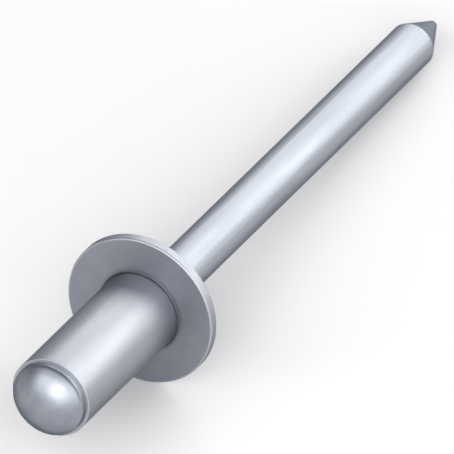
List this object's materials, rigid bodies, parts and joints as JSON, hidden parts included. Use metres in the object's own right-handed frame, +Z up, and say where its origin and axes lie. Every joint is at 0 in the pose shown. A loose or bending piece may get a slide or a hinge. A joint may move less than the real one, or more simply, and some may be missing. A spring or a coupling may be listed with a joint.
{
  "type": "pop rivet",
  "caption": "Unset open-end blind rivet: a flanged aluminium tube with a domed crown, held on a headed steel pull pin with a cone point.",
  "frame": {"origin": "centre of the flange's seat, the flat face that presses on the sheet, on the rivet's axis", "axes": "+X along the rivet as it lies, from the blind end to the pin's point; the axis dips 5.6 degrees below +X because the rivet rests on its flange rim and on the edge of the pin's cone; +Z up"},
  "size_m": [0.0393, 0.0076, 0.0075],
  "materials": {
    "rivet_aluminium": "satin, cold formed and tumbled",
    "mandrel_steel": "bright drawn wire, thin clear zinc"
  },
  "bodies": {
    "root": {"rivet_body": "rivet_aluminium", "mandrel": "mandrel_steel"}
  },
  "joints": []
}
